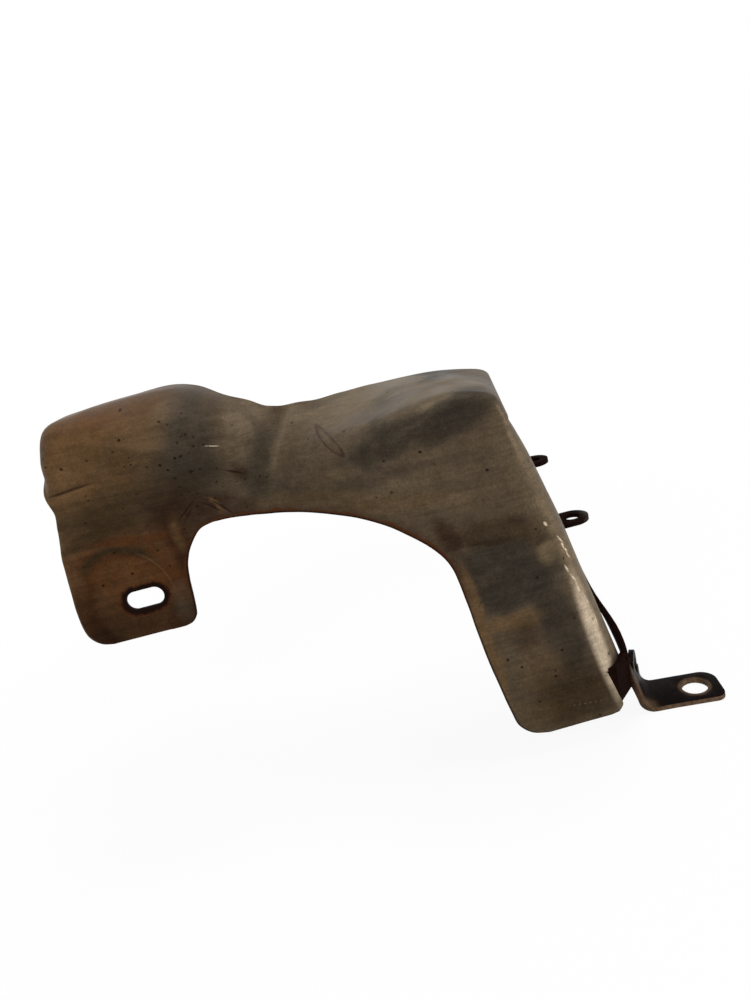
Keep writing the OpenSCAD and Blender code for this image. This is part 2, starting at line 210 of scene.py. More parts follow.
hood_sections = [
    section((TAB_R + 45, ARCH_Z - 0.9), (SIDE_X - 96, HOOD_Z + 4.6), LOBE_R - 2, 19, HOOD_BACK_Y - 14),
    section((TAB_R + 50.5, ARCH_Z - 1.1), (SIDE_X - 89, HOOD_Z + 2.7), LOBE_R - 2, 18, HOOD_BACK_Y - 12),
    section((TAB_R + 58, ARCH_Z - 1.6), (SIDE_X - 78.7, HOOD_Z + 1.2), LOBE_R - 2, 14, HOOD_BACK_Y - 7),
    section((LEG_X - 47.3, ARCH_Z - 2.8), (SIDE_X - 67, HOOD_Z + 0.6), HOOD_R + 13, 10.5, HOOD_BACK_Y - 2),
    section((LEG_X - 38.3, ARCH_Z - 4.6), (SIDE_X - 54, HOOD_Z + 0.1), HOOD_R + 9, 5.5, HOOD_BACK_Y),
    section((LEG_X - 29.3, ARCH_Z - 8.2), (SIDE_X - 40, HOOD_Z - 0.4), HOOD_R + 4, 0, HOOD_BACK_Y),
    section((LEG_X - 22.8, ARCH_Z - 12.6), (SIDE_X - 28, HOOD_Z - 1), HOOD_R + 1, -1, HOOD_BACK_Y - 1),
    section((LEG_X - 16.8, ARCH_Z - 17.8), (SIDE_X - 15, HOOD_Z - 2.5), HOOD_R, 2, HOOD_BACK_Y - 7),
    section((LEG_X - 12.4, ARCH_Z - 23.4), (SIDE_X - 7.3, HOOD_Z - 5), HOOD_R + 1, 9.4, HOOD_BACK_Y - 14),
    section((LEG_X - 9.9, ARCH_Z - 29), (SIDE_X - 9, HOOD_Z - 9.8), HOOD_R + 2, 6.4, HOOD_BACK_Y - 26),
    section((LEG_X - 8.6, ARCH_Z - 35.5), (SIDE_X - 8.9, HOOD_Z - 17.6), SIDE_R - 4, 2.4, HOOD_BACK_Y - 20),
    section((LEG_X - 7.7, ARCH_Z - 42.5), (SIDE_X - 5.7, HOOD_Z - 29.2), SIDE_R - 1, 1, HOOD_BACK_Y - 10),
]
leg_sections = [
    leg_section((LEG_X - 7, LEG_Z + 59.4), HOOD_Z - 44.4),
    leg_section((LEG_X - 6.4, LEG_Z + 52.9), HOOD_Z - 57.4),
    leg_section((LEG_X - 5.6, LEG_Z + 46.4), HOOD_Z - 70.4),
    leg_section((LEG_X - 4.8, LEG_Z + 39.9), RELIEF_Z + 38),
    leg_section((LEG_X - 3.8, LEG_Z + 33.4), RELIEF_Z + 25),
    leg_section((LEG_X - 2.7, LEG_Z + 27.4), RELIEF_Z + 12),
    leg_section((LEG_X - 1.4, LEG_Z + 19.9), RELIEF_Z),
]
FREE_X = side_at(RELIEF_Z) - 8.2
free_edge = [(1.3, 13.6), (2.7, 8.2), (3.8, 3.7), (1.8, 0.7)]
foot_sections = [foot_section((LEG_X - 1.1, LEG_Z + 18.2), (FREE_X, RELIEF_Z - RELIEF_W))] + [
    foot_section(corner(LEG_X, LEG_Z, LEG_CORNER_R, 90 - w), (FREE_X + dx, LEG_Z + dz))
    for w, (dx, dz) in zip((0, 30, 60, 90), free_edge)
]
wall_sections = tab_sections + lobe_sections + hood_sections + leg_sections
print("sections:", len(wall_sections), "with a wall,", len(foot_sections), "in the free foot")


# %% Blend the sections into one surface
def glide(a, b, c, d, t):
    """A smooth curve through b and c that also looks at its neighbours a and d."""
    return b + t * ((c - a) / 2 + t * ((a - 2.5 * b + 2 * c - d / 2) + t * (1.5 * (b - c) + (d - a) / 2)))


def blend_rows(rows, t):
    """The section at t, counted in sections from the first."""
    k = min(int(t), len(rows) - 2)
    around = [rows[min(max(i, 0), len(rows) - 1)] for i in (k - 1, k, k + 1, k + 2)]
    return [glide(*parts, t - k) for parts in zip(*around)]


WALL_SPANS = len(wall_sections) - 1
FOOT_SPANS = len(foot_sections) - 1
SPANS = WALL_SPANS + 1 + FOOT_SPANS


def section_at(t):
    """The section at t: the walled part, the strip beside the slit, then the free foot."""
    if t <= WALL_SPANS:
        return blend_rows(wall_sections, t)
    if t >= WALL_SPANS + 1:
        return blend_rows(foot_sections, t - WALL_SPANS - 1)
    part = t - WALL_SPANS
    return [a + (b - a) * part for a, b in zip(wall_sections[-1], foot_sections[0])]


# %% [markdown]
# ## The marks of use
#
# The real sheet isn't perfectly smooth. It has a crease on the lobe's flank, wrinkles where the
# metal was drawn in round the arch's corner, a spot-faced pad round the slot and dents in the
# leg's flank. They could be painted on, but light catches them, so they are pressed into the
# sheet: each is a distance from a line, a point or an oval, turned into a depth.

# %% Creases, wrinkles, dents and the pad, in millimetres over the front view
creases = [
    ((-229.5, 142.0), (-212.5, 144.6), 1.6, 0.6),
    ((-191.0, 116.5), (-188.8, 106.5), 2.6, -0.7),
    ((-181.2, 125.8), (-184.8, 118.8), 1.1, 0.35),
    ((-171.8, 125.2), (-165.2, 120.6), 1.5, -0.4),
    ((-168.6, 126.4), (-162.6, 122.0), 1.3, 0.3),
    ((-177.5, 127.5), (-172.5, 122.0), 1.4, 0.25),
]
dents = [
    ((-53.2, 84.0), 5.2, 0.9),
    ((-47.6, 85.2), 3.4, 0.5),
    ((-50.8, 93.4), 2.2, 0.35),
    ((-45.0, 60.0), 3.0, 0.3),
]
PAD_X, PAD_Z, PAD_WIDE, PAD_TALL, PAD_DEEP = -218.0, 90.0, 19.0, 22.5, 0.35
PAD_RIM = 0.07
WAVES = ((0.22, 26, 0.3), (0.07, 9, 2.1))


def from_line(x, z, start, end):
    """Distance from a straight line between two points."""
    (x0, z0), (x1, z1) = start, end
    dx, dz = x1 - x0, z1 - z0
    part = min(max(((x - x0) * dx + (z - z0) * dz) / (dx * dx + dz * dz), 0), 1)
    return math.hypot(x - x0 - part * dx, z - z0 - part * dz)


def marks(x, z):
    """How far the marks push the sheet back at a point of the front view."""
    from_pad = math.hypot((x - PAD_X) / PAD_WIDE, (z - PAD_Z) / PAD_TALL)
    deep = PAD_DEEP * ease((1 - from_pad) / PAD_RIM)
    for start, end, wide, depth in creases:
        deep += depth * bump(from_line(x, z, start, end) / wide)
    for (cx, cz), radius, depth in dents:
        deep += depth * bump(math.hypot(x - cx, z - cz) / radius)
    for height, length, layer in WAVES:
        deep += height * noise.noise(Vector((x / length, layer, z / length)))
    return deep


# %% Where a point of the blank goes
FACE_PART, BEND_PART = 0.66, 0.14
LEAST_TURN = math.radians(3)


def press(across, t):
    """The place of one point of the blank, and its distances from the inner and the outer edge."""
    ax, az, bx, bz, radius, turn, wall = section_at(t)
    radius, turn, wall = max(radius, 1), max(turn, LEAST_TURN), max(wall, 1)
    span = math.hypot(bx - ax, bz - az)
    way_x, way_z = (bx - ax) / span, (bz - az) / span
    reach = span - radius * math.tan(turn / 2)
    if across <= FACE_PART:
        along, behind = reach * across / FACE_PART, 0.0
        travelled = along
    elif across <= FACE_PART + BEND_PART:
        w = turn * (across - FACE_PART) / BEND_PART
        along, behind = reach + radius * math.sin(w), radius * (1 - math.cos(w))
        travelled = reach + radius * w
    else:
        part = wall * (across - FACE_PART - BEND_PART) / (1 - FACE_PART - BEND_PART)
        along = reach + radius * math.sin(turn) + part * math.cos(turn)
        behind = radius * (1 - math.cos(turn)) + part * math.sin(turn)
        travelled = reach + radius * turn + part
    x, z = ax + way_x * along, az + way_z * along
    left = reach + radius * turn + wall - travelled
    return Vector((x, face_y(x, z) + behind + marks(x, z), z)), (travelled * MM, left * MM)


# %% Press the blank
STEPS = 8
COLUMNS = 124
SLIT_FROM = FREE_X - 1


def pressed_sheet():
    """The sheet's outer surface as a bmesh, with the blank's own measures as its UV map."""
    bm = bmesh.new()
    uv = bm.loops.layers.uv.new("blank")
    bmesh.ops.create_grid(bm, x_segments=COLUMNS, y_segments=SPANS * STEPS, size=1)
    measures = {}
    beside_slit = set()
    for v in bm.verts:
        across, t = (v.co.x + 1) / 2, (v.co.y + 1) / 2 * SPANS
        place, measures[v] = press(across, t)
        if WALL_SPANS - 0.01 < t < WALL_SPANS + 1.01:
            beside_slit.add(v)
        v.co = place
    for face in bm.faces:
        for loop in face.loops:
            loop[uv].uv = measures[loop.vert]
    slit = [f for f in bm.faces
            if all(v in beside_slit for v in f.verts) and f.calc_center_median().x > SLIT_FROM]
    bmesh.ops.delete(bm, geom=slit, context="FACES")
    return bm


sheet_bm = pressed_sheet()
bmesh.ops.scale(sheet_bm, vec=(MM, MM, MM), verts=sheet_bm.verts)
bmesh.ops.recalc_face_normals(sheet_bm, faces=sheet_bm.faces)
front = min(sheet_bm.faces, key=lambda f: f.calc_center_median().y)
if front.normal.y > 0:
    bmesh.ops.reverse_faces(sheet_bm, faces=sheet_bm.faces)
print("pressed sheet:", len(sheet_bm.faces), "faces")

# %% [markdown]
# ## The finish
#
# The real steel was bare and satin. Heat has drawn an oxide over it, straw and tan where it was
# warm and brown to slate where it was hot, and soot, rust and handling have left their marks.
# Some light and shade is painted in too: highlights on the flank and the hood's top, and shade
# in the valley, the creases, under the crest, by the slit and at the bottom.
# It could be a painted picture. But a procedural finish stays sharp at any distance, so each mark
# is a soft oval, a line or a noise in the part's own coordinates, tinted over the one below it.

# %% Small builders for shader nodes
def add(tree, kind, sockets=None, **settings):
    """A new node with its settings; each socket gets a value or a link."""
    made = tree.nodes.new("ShaderNode" + kind)
    for key, value in settings.items():
        setattr(made, key, value)
    for key, value in (sockets or {}).items():
        if isinstance(value, bpy.types.NodeSocket):
            tree.links.new(value, made.inputs[key])
        else:
            made.inputs[key].default_value = value
    return made


def maths(tree, operation, *values):
    return add(tree, "Math", dict(enumerate(values)), operation=operation).outputs[0]


def both(tree, one, other):
    """1 only where both masks are 1."""
    return maths(tree, "MULTIPLY", one, other)


def parts_of(tree, vector):
    """The X, Y and Z of a vector."""
    return add(tree, "SeparateXYZ", {0: vector}).outputs


def facing_back(tree):
    """Which way the surface faces: 1 to the back, -1 to the front."""
    return parts_of(tree, tree.nodes.new("ShaderNodeTexCoord").outputs["Normal"])["Y"]


def smooth(tree, value, at_0, at_1, low=0.0, high=1.0):
    """Goes smoothly from low to high while the value goes from at_0 to at_1."""
    sockets = {"Value": value, "From Min": at_0, "From Max": at_1, "To Min": low, "To Max": high}
    return add(tree, "MapRange", sockets, interpolation_type="SMOOTHSTEP").outputs["Result"]


def cloud(tree, where, per_metre, detail=3.0, rough=0.55, turn=(0, 0, 0), stretch=(1, 1, 1)):
    """Noise between 0 and 1, stretched and turned."""
    place = add(tree, "Mapping", {"Vector": where, "Rotation": turn, "Scale": stretch}).outputs[0]
    sockets = {"Vector": place, "Scale": per_metre, "Detail": detail, "Roughness": rough}
    return add(tree, "TexNoise", sockets).outputs[0]


NO_LIMIT = 50


def from_centre(tree, where, centre, radii, tilt):
    """0 at the centre of an oval of the front view, 1 on its rim; given in millimetres."""
    sockets = {"Vector": where, "Location": (centre[0] * MM, 0, centre[1] * MM),
               "Rotation": (0, math.radians(tilt), 0),
               "Scale": (radii[0] * MM, NO_LIMIT, radii[1] * MM)}
    local = add(tree, "Mapping", sockets, vector_type="TEXTURE").outputs[0]
    return add(tree, "VectorMath", {0: local}, operation="LENGTH").outputs["Value"]


def oval(tree, where, centre, radii, tilt=0.0, soft=0.6):
    """1 inside a soft oval of the front view."""
    out = from_centre(tree, where, centre, radii, tilt)
    return smooth(tree, out, 1 + soft / 2, 1 - soft / 2)


def ring(tree, where, centre, radii, thick, tilt=0.0):
    """1 on the rim of an oval of the front view."""
    out = from_centre(tree, where, centre, radii, tilt)
    off = maths(tree, "ABSOLUTE", maths(tree, "SUBTRACT", out, 1.0))
    return smooth(tree, off, thick, 0.0)


def stroke(tree, where, start, end, wide):
    """1 along a thin straight mark between two points of the front view."""
    (x0, z0), (x1, z1) = start, end
    long = math.dist(start, end)
    tilt = -math.degrees(math.atan2(z1 - z0, x1 - x0))
    return oval(tree, where, ((x0 + x1) / 2, (z0 + z1) / 2), (long / 2, wide / 2), tilt, 0.7)


def tint(tree, below, colour, mask, amount=1.0):
    """Lays a colour over the one below where the mask says."""
    share = maths(tree, "MULTIPLY", mask, amount) if amount != 1 else mask
    if not isinstance(colour, bpy.types.NodeSocket):
        colour = (*colour, 1)
    mix = add(tree, "Mix", data_type="RGBA", clamp_factor=True)
    for socket, value in ((mix.inputs[0], share), (mix.inputs[6], below), (mix.inputs[7], colour)):
        if isinstance(value, bpy.types.NodeSocket):
            tree.links.new(value, socket)
        else:
            socket.default_value = value
    return mix.outputs[2]


def shade(tree, below, factor):
    """Multiplies a colour by a grey factor."""
    grey = add(tree, "CombineColor", {0: factor, 1: factor, 2: factor}).outputs[0]
    mix = add(tree, "Mix", data_type="RGBA", blend_type="MULTIPLY")
    mix.inputs[0].default_value = 1
    tree.links.new(below, mix.inputs[6])
    tree.links.new(grey, mix.inputs[7])
    return mix.outputs[2]


def new_steel(name, metallic, specular):
    """A material with its shader, and the part's own coordinates in metres."""
    material = bpy.data.materials.new(name)
    material.use_nodes = True
    tree = material.node_tree
    shader = tree.nodes["Principled BSDF"]
    shader.inputs["Metallic"].default_value = metallic
    shader.inputs["Specular IOR Level"].default_value = specular
    where = tree.nodes.new("ShaderNodeTexCoord").outputs["Object"]
    return material, tree, shader, where


# %% [markdown]
# ### The shield's heat tint, with painted light and shade
#
# The colours run from tan on the lobe's left, through red-brown on the tab, to a dark slate on the
# leg. The same list also paints shade: dark ovals in the valley and under the hood's crest, and a
# darker bottom on the tab and the leg's foot. The hood's top is painted paler, as light from above,
# and the flank gets painted highlights further on.
# It could be one gradient with thresholds, but the real tints lie in separate patches, so each is
# an oval of its own. Noise pushes every border about, so that no oval shows as one.

# %% Heat tints, painted light and shade, soot and rust
PALE = (0.118, 0.085, 0.048)
TAN = (0.098, 0.053, 0.022)
OCHRE = (0.112, 0.065, 0.029)
STEEL = (0.078, 0.056, 0.035)
BROWN = (0.064, 0.023, 0.007)
OLIVE = (0.032, 0.020, 0.009)
SLATE = (0.031, 0.025, 0.018)
UMBER = (0.022, 0.009, 0.004)
# a near-black for soot and pits, also used for painted shade and shadow
SOOT_AND_SHADE = (0.008, 0.003, 0.002)
RUST = (0.060, 0.018, 0.005)
BRIGHT = (0.55, 0.44, 0.32)

# Each tint: its paint, its centre and radii in millimetres over the front view, its tilt in
# degrees, how soft its border is, and how strongly it covers.
tints_and_painted_light = [
    (TAN, (-216, 152), (46, 30), -20, 1.2, 0.95),
    (BROWN, (-196, 168), (26, 6), -8, 1.2, 0.5),
    (OLIVE, (-194, 152), (16, 10), 0, 1.4, 0.35),
    (STEEL, (-186, 160), (14, 14), 0, 1.4, 0.2),
    (SLATE, (-173, 150), (11, 19), 12, 1.2, 0.95),
    (SLATE, (-180, 140), (14, 8), 20, 1.2, 0.6),
    (OLIVE, (-205, 129), (32, 11), -4, 1.1, 0.8),
    (UMBER, (-186, 122), (12, 12), -20, 1.2, 0.75),
    (UMBER, (-168, 120), (12, 6), 0, 1.2, 0.75),
    # painted shade: a dark band down the valley's groove
    (SLATE, (-149, 134), (5.5, 15), 24, 1.2, 0.62),
    (UMBER, (-157, 134), (4, 3), 0, 1.0, 0.6),
    (PALE, (-116, 130), (15, 2.4), -20, 1.0, 0.35),
    (SLATE, (-112, 125), (14, 2), -16, 1.2, 0.2),
    (PALE, (-104, 122), (16, 2), -12, 1.0, 0.3),
    # painted light: the hood's top is paler where it faces the light from above
    (PALE, (-84, 149), (42, 4.2), -3, 0.7, 0.95),
    # painted shade: dark ovals under the hood's crest, where the sheet turns down out of the light
    (SLATE, (-103, 138), (13, 5.5), -22, 1.0, 0.95),
    (UMBER, (-78, 139), (14, 4.5), -8, 1.1, 0.4),
    (SLATE, (-78, 140.5), (17, 6.5), -8, 0.9, 0.95),
    (SLATE, (-76, 144.4), (12, 2.2), -6, 0.8, 0.8),
    (OCHRE, (-118, 117), (34, 4), 5, 1.2, 0.5),
    (BROWN, (-217, 94), (38, 26), 0, 0.7, 0.98),
    (TAN, (-237.5, 104), (4, 20), 4, 1.2, 0.5),
    (UMBER, (-238, 84), (13, 14), 0, 1.2, 0.8),
    # painted shade: the tab's lowest part is darkened, as no light reaches it from below
    (UMBER, (-210, 76), (36, 12), 0, 1.0, 0.98),
    (UMBER, (-190, 106), (6, 18), -8, 1.1, 0.75),
    (STEEL, (-195, 84), (6, 9), -10, 1.0, 0.4),
    (TAN, (-189.8, 113), (2.6, 7), -4, 1.4, 0.6),
    (OLIVE, (-70, 96), (21, 6), 10, 0.9, 0.8),
    (SLATE, (-70, 79), (21, 14), 8, 0.5, 0.95),
    (OCHRE, (-84.5, 72), (3.2, 15), -4, 0.7, 0.7),
    (OCHRE, (-69, 60.5), (14, 3.8), 8, 0.6, 0.65),
    (OCHRE, (-81.5, 47), (3.4, 22), -5, 0.8, 0.8),
    (SLATE, (-52.5, 52), (7, 26), -9, 0.8, 0.85),
    (UMBER, (-66, 52), (6, 7), -20, 1.2, 0.5),
    (OCHRE, (-64, 38), (9, 9), 0, 1.4, 0.4),
    # painted shade: the leg's foot is darkened, as no light reaches it from below
    (OLIVE, (-52, 22), (17, 15), 12, 1.2, 0.95),
    (UMBER, (-73, 93), (8, 0.9), 8, 1.2, 0.5),
    # painted highlight: a pale line along a wrinkle at the arch's corner
    (TAN, (-171.3, 121.7), (4.4, 0.8), 43, 1.2, 0.9),
    (OLIVE, (-130, 122), (16, 7), 0, 1.4, 0.35),
    (OCHRE, (-70, 17), (9, 6), 0, 1.4, 0.3),
    (UMBER, (-89, 98), (3.4, 8), -24, 1.0, 0.7),
    (SOOT_AND_SHADE, (-191, 76), (5, 5), 0, 1.2, 0.6),
    (SOOT_AND_SHADE, (-224, 78), (10, 5), 10, 1.2, 0.35),
]


def tinted_with_painted_light(tree, where):
    """The base steel with its tints and its painted light and shade; their borders wander with the noise.
    """
    bend = add(tree, "TexNoise", {"Vector": where, "Scale": 36.0, "Detail": 4.0}).outputs["Color"]
    centred = add(tree, "VectorMath", {0: bend, 1: (0.5, 0.5, 0.5)}, operation="SUBTRACT").outputs[0]
    pushed = add(tree, "VectorMath", {0: centred, "Scale": 0.014}, operation="SCALE").outputs[0]
    wandering = add(tree, "VectorMath", {0: where, 1: pushed}, operation="ADD").outputs[0]
    colour = tint(tree, (*STEEL, 1), OLIVE, smooth(tree, cloud(tree, where, 30), 0.45, 0.8), 0.2)
    thin = smooth(tree, cloud(tree, where, 110, 4), 0.25, 0.6, 0.75, 1.0)
    for paint, centre, radii, tilt, soft, amount in tints_and_painted_light:
        mask = maths(tree, "MULTIPLY", oval(tree, wandering, centre, radii, tilt, soft), thin)
        colour = tint(tree, colour, paint, mask, amount)
    return colour, wandering


# %% The slot's ring and the bands above it
def slot_distance(tree, where):
    """Distance outside the slot's edge, in metres."""
    place = parts_of(tree, where)
    across = maths(tree, "ABSOLUTE", maths(tree, "SUBTRACT", place["X"], (TAB_R - SLOT_IN) * MM))
    past = maths(tree, "MAXIMUM", maths(tree, "SUBTRACT", across, (SLOT_L - SLOT_W) / 2 * MM), 0.0)
    up = maths(tree, "SUBTRACT", place["Z"], (TAB_Z + SLOT_UP) * MM)
    squares = maths(tree, "MULTIPLY_ADD", past, past, maths(tree, "MULTIPLY", up, up))
    return maths(tree, "SUBTRACT", maths(tree, "SQRT", squares), SLOT_W / 2 * MM)


def tab_marks(tree, colour, where, wandering):
    """The pad is paler, dark bands curve above it, and a washer burnt the slot's edge."""
    nearly = add(tree, "VectorMath", {0: where, 1: wandering}, operation="ADD").outputs[0]
    nearly = add(tree, "VectorMath", {0: nearly, "Scale": 0.5}, operation="SCALE").outputs[0]
    pad = oval(tree, where, (PAD_X + 1, PAD_Z), (15.5, 20), 0, 0.3)
    colour = tint(tree, colour, TAN, pad, 0.22)
    band = ring(tree, nearly, (PAD_X, PAD_Z), (PAD_WIDE + 1, PAD_TALL + 1.5), 0.17)
    upper = oval(tree, where, (PAD_X + 1, PAD_Z + 29), (21, 17), -6, 0.7)
    colour = tint(tree, colour, OLIVE, both(tree, band, upper))
    high_band = oval(tree, nearly, (-222, 121.5), (17, 3.2), -14, 0.9)
    colour = tint(tree, colour, OLIVE, high_band, 0.7)
    warm_gap = oval(tree, nearly, (-208, 116), (16, 2), 8, 0.9)
    colour = tint(tree, colour, BROWN, warm_gap, 0.7)
    rim = ring(tree, where, (PAD_X, PAD_Z), (PAD_WIDE, PAD_TALL), 0.04)
    rim_right = oval(tree, where, (-202, 103), (6, 11), -20, 0.9)
    colour = tint(tree, colour, TAN, both(tree, rim, rim_right), 0.6)
    uneven = cloud(tree, where, 380, 5)
    ragged = maths(tree, "MULTIPLY_ADD", uneven, -3.4 * MM, slot_distance(tree, where))
    under_slot = oval(tree, where, (-214.5, 86.5), (8, 4), 0, 1.0)
    burnt = maths(tree, "MULTIPLY_ADD", under_slot, -0.8 * MM, ragged)
    colour = tint(tree, colour, RUST, smooth(tree, burnt, 2.6 * MM, 0.4 * MM), 0.6)
    return tint(tree, colour, SOOT_AND_SHADE, smooth(tree, burnt, 1.3 * MM, -0.4 * MM), 0.97)


# %% Rust along the cut edges, and a painted highlight on the outer edge
def edges_worn_and_lit(tree, colour, where):
    """Rust starts at the arch's cut edge and eats over the face; the outer edge on the left gets a painted
    highlight.
    """
    blank = parts_of(tree, add(tree, "UVMap", uv_map="blank").outputs[0])
    inner, outer = blank["X"], blank["Y"]
    eaten = cloud(tree, where, 130, 5)
    reach = maths(tree, "MULTIPLY_ADD", eaten, -4.5 * MM, inner)
    arch = oval(tree, where, (-138, 96), (66, 36), 4, 0.3)
    stained = smooth(tree, reach, 3.5 * MM, -1 * MM)
    colour = tint(tree, colour, UMBER, both(tree, stained, arch), 0.35)
    rusted = smooth(tree, reach, -0.2 * MM, -1.4 * MM)
    colour = tint(tree, colour, RUST, both(tree, rusted, arch), 0.85)
    # painted highlight: the outer edge on the left is paler, as light catches its rim
    rim_highlight = smooth(tree, maths(tree, "MULTIPLY_ADD", eaten, 2 * MM, outer), 2.2 * MM, 0.9 * MM)
    left = smooth(tree, parts_of(tree, where)["X"], -200 * MM, -225 * MM)
    colour = tint(tree, colour, PALE, both(tree, rim_highlight, left), 0.45)
    return tint(tree, colour, SOOT_AND_SHADE, smooth(tree, inner, 1.1 * MM, 0.3 * MM), 0.85)


# %% Fine grain, pits and specks
JITTER = 0.9 * MM


def cell_chances(tree, cells):
    """Three random shares of each cell, which its colour holds."""
    return add(tree, "SeparateColor", {0: cells["Color"]}).outputs


def pits(tree, where, per_metre, size, least_chance):
    """Cells of a pattern, and a mask of round pits in those whose chance is high enough."""
    cells = add(tree, "TexVoronoi", {"Vector": where, "Scale": per_metre}).outputs
    chosen = maths(tree, "GREATER_THAN", cell_chances(tree, cells)[0], least_chance)
    return cells, both(tree, smooth(tree, cells["Distance"], size, size * 0.4), chosen)


def grain(tree, colour, where):
    """Mottling at three scales, rolled streaks along the sheet, dark pits and pale specks."""
    streaks = cloud(tree, where, 160, 5, 0.7, (0, math.radians(12), 0), (0.16, 1, 2.4))
    mottle = cloud(tree, where, 240, 7, 0.68)
    fine = cloud(tree, where, 1300, 2, 0.6)
    colour = shade(tree, colour, smooth(tree, streaks, 0.25, 0.75, 0.82, 1.18))
    colour = shade(tree, colour, smooth(tree, mottle, 0.3, 0.7, 0.84, 1.16))
    colour = shade(tree, colour, smooth(tree, fine, 0.25, 0.75, 0.84, 1.16))
    jitter = add(tree, "TexNoise", {"Vector": where, "Scale": 900.0, "Detail": 1.0}).outputs["Color"]
    sockets = {0: jitter, 1: (JITTER, JITTER, JITTER), 2: where}
    moved = add(tree, "VectorMath", sockets, operation="MULTIPLY_ADD").outputs[0]
    sparse = smooth(tree, cloud(tree, where, 40, 2), 0.4, 0.65, 0.97, 0.88)
    by_arch = oval(tree, where, (-177, 132), (22, 20), -20, 1.2)
    least_chance = maths(tree, "MULTIPLY_ADD", by_arch, -0.5, sparse)
    small, small_pit = pits(tree, moved, 360.0, 0.27, least_chance)
    large_pit = pits(tree, moved, 150.0, 0.16, least_chance)[1]
    pit = maths(tree, "MAXIMUM", small_pit, large_pit)
    rare = maths(tree, "GREATER_THAN", cell_chances(tree, small)[1], 0.955)
    speck = both(tree, smooth(tree, small["Distance"], 0.12, 0.04), rare)
    colour = tint(tree, colour, SOOT_AND_SHADE, pit, 0.75)
    colour = tint(tree, colour, PALE, speck, 0.6)
    return colour, streaks, mottle, fine, pit


# %% Scratches, stains and the smear
# Each line: its start, its end and its width in millimetres; a dotted one also has its spacing.
# Bright lines: one scratch on the lobe, and down the flank's bend painted glints along the dents.
bright_scratches_and_glints = [
    ((-166.8, 147.4), (-161.8, 145.6), 0.3),
    ((-52.6, 95.2), (-51.6, 93.4), 1.0),
    ((-48.4, 88.0), (-46.6, 84.6), 0.6),
    ((-47.2, 84.6), (-45.6, 80.6), 0.8),
    ((-46.0, 80.6), (-44.8, 77.4), 0.5),
    ((-47.8, 76.2), (-46.2, 71.8), 0.8),
    ((-46.4, 72.0), (-44.2, 68.2), 0.6),
    ((-44.6, 68.0), (-43.6, 62.0), 0.8),
    ((-42.4, 62.0), (-40.6, 56.4), 0.5),
    ((-39.4, 52.0), (-38.8, 47.0), 0.45),
]
# Dark lines: painted shade in the grooves of the pressed crease and the wrinkles at the arch's corner; the
# last one is a scratch.
crease_shade_and_scratches = [
    ((-231.4, 142.4), (-214.0, 143.8), 1.1),
    ((-188.6, 118.6), (-178.1, 127.1), 0.7),
    ((-186.5, 117.0), (-180.6, 123.6), 0.5),
    ((-172.3, 124.8), (-165.7, 117.6), 1.0),
    ((-176.4, 124.6), (-169.2, 118.4), 0.7),
    ((-163.0, 136.4), (-156.0, 133.0), 1.0),
]
deep_pits = [
    (-213.5, 101.9), (-226.5, 100.0), (-196.9, 157.6), (-196.2, 167.0), (-222.4, 151.9),
    (-184.6, 145.1), (-182.4, 142.5), (-178.4, 146.3), (-90.4, 132.2), (-69.0, 119.9),
    (-75.9, 44.4), (-54.9, 42.7), (-59.1, 32.3), (-71.2, 39.9),
]
dotted_lines = [
    ((-103.5, 135.6), (-97.0, 134.6), 0.5, 0.9),
    ((-56.0, 17.6), (-41.0, 16.2), 0.7, 2.1),
]


def scratches(tree, colour, where):
    """Dark lines (painted shade in the creases, and a scratch), bright lines broken up a little (a scratch,
    and painted glints on the flank), deep pits and two rows of pale dots.
    """
    gaps = smooth(tree, cloud(tree, where, 700, 2), 0.36, 0.5)
    for start, end, wide in crease_shade_and_scratches:
        colour = tint(tree, colour, SOOT_AND_SHADE, stroke(tree, where, start, end, wide), 0.65)
    for start, end, wide in bright_scratches_and_glints:
        broken = both(tree, stroke(tree, where, start, end, wide), gaps)
        colour = tint(tree, colour, BRIGHT, broken, 0.85)
    for centre in deep_pits:
        colour = tint(tree, colour, SOOT_AND_SHADE, oval(tree, where, centre, (0.6, 0.5), 30, 0.9), 0.9)
    for start, end, wide, spacing in dotted_lines:
        turns = maths(tree, "MULTIPLY", parts_of(tree, where)["X"], math.tau / (spacing * MM))
        on = smooth(tree, maths(tree, "SINE", turns), 0.1, 0.7)
        dots = both(tree, stroke(tree, where, start, end, wide), on)
        colour = tint(tree, colour, PALE, dots, 0.5)
    return colour


def smear(tree, colour, where):
    """A dried loop of some fluid beside the valley, with pale crumbs in it."""
    loop = ring(tree, where, (-120.6, 138.8), (5.4, 1.6), 0.34, 45)
    gaps = smooth(tree, cloud(tree, where, 260, 2), 0.3, 0.5, 0.3, 1.0)
    colour = tint(tree, colour, UMBER, both(tree, loop, gaps), 0.6)
    crumbs = oval(tree, where, (-121.6, 140.2), (2.2, 0.5), 45, 0.9)
    return tint(tree, colour, PALE, crumbs, 0.45)


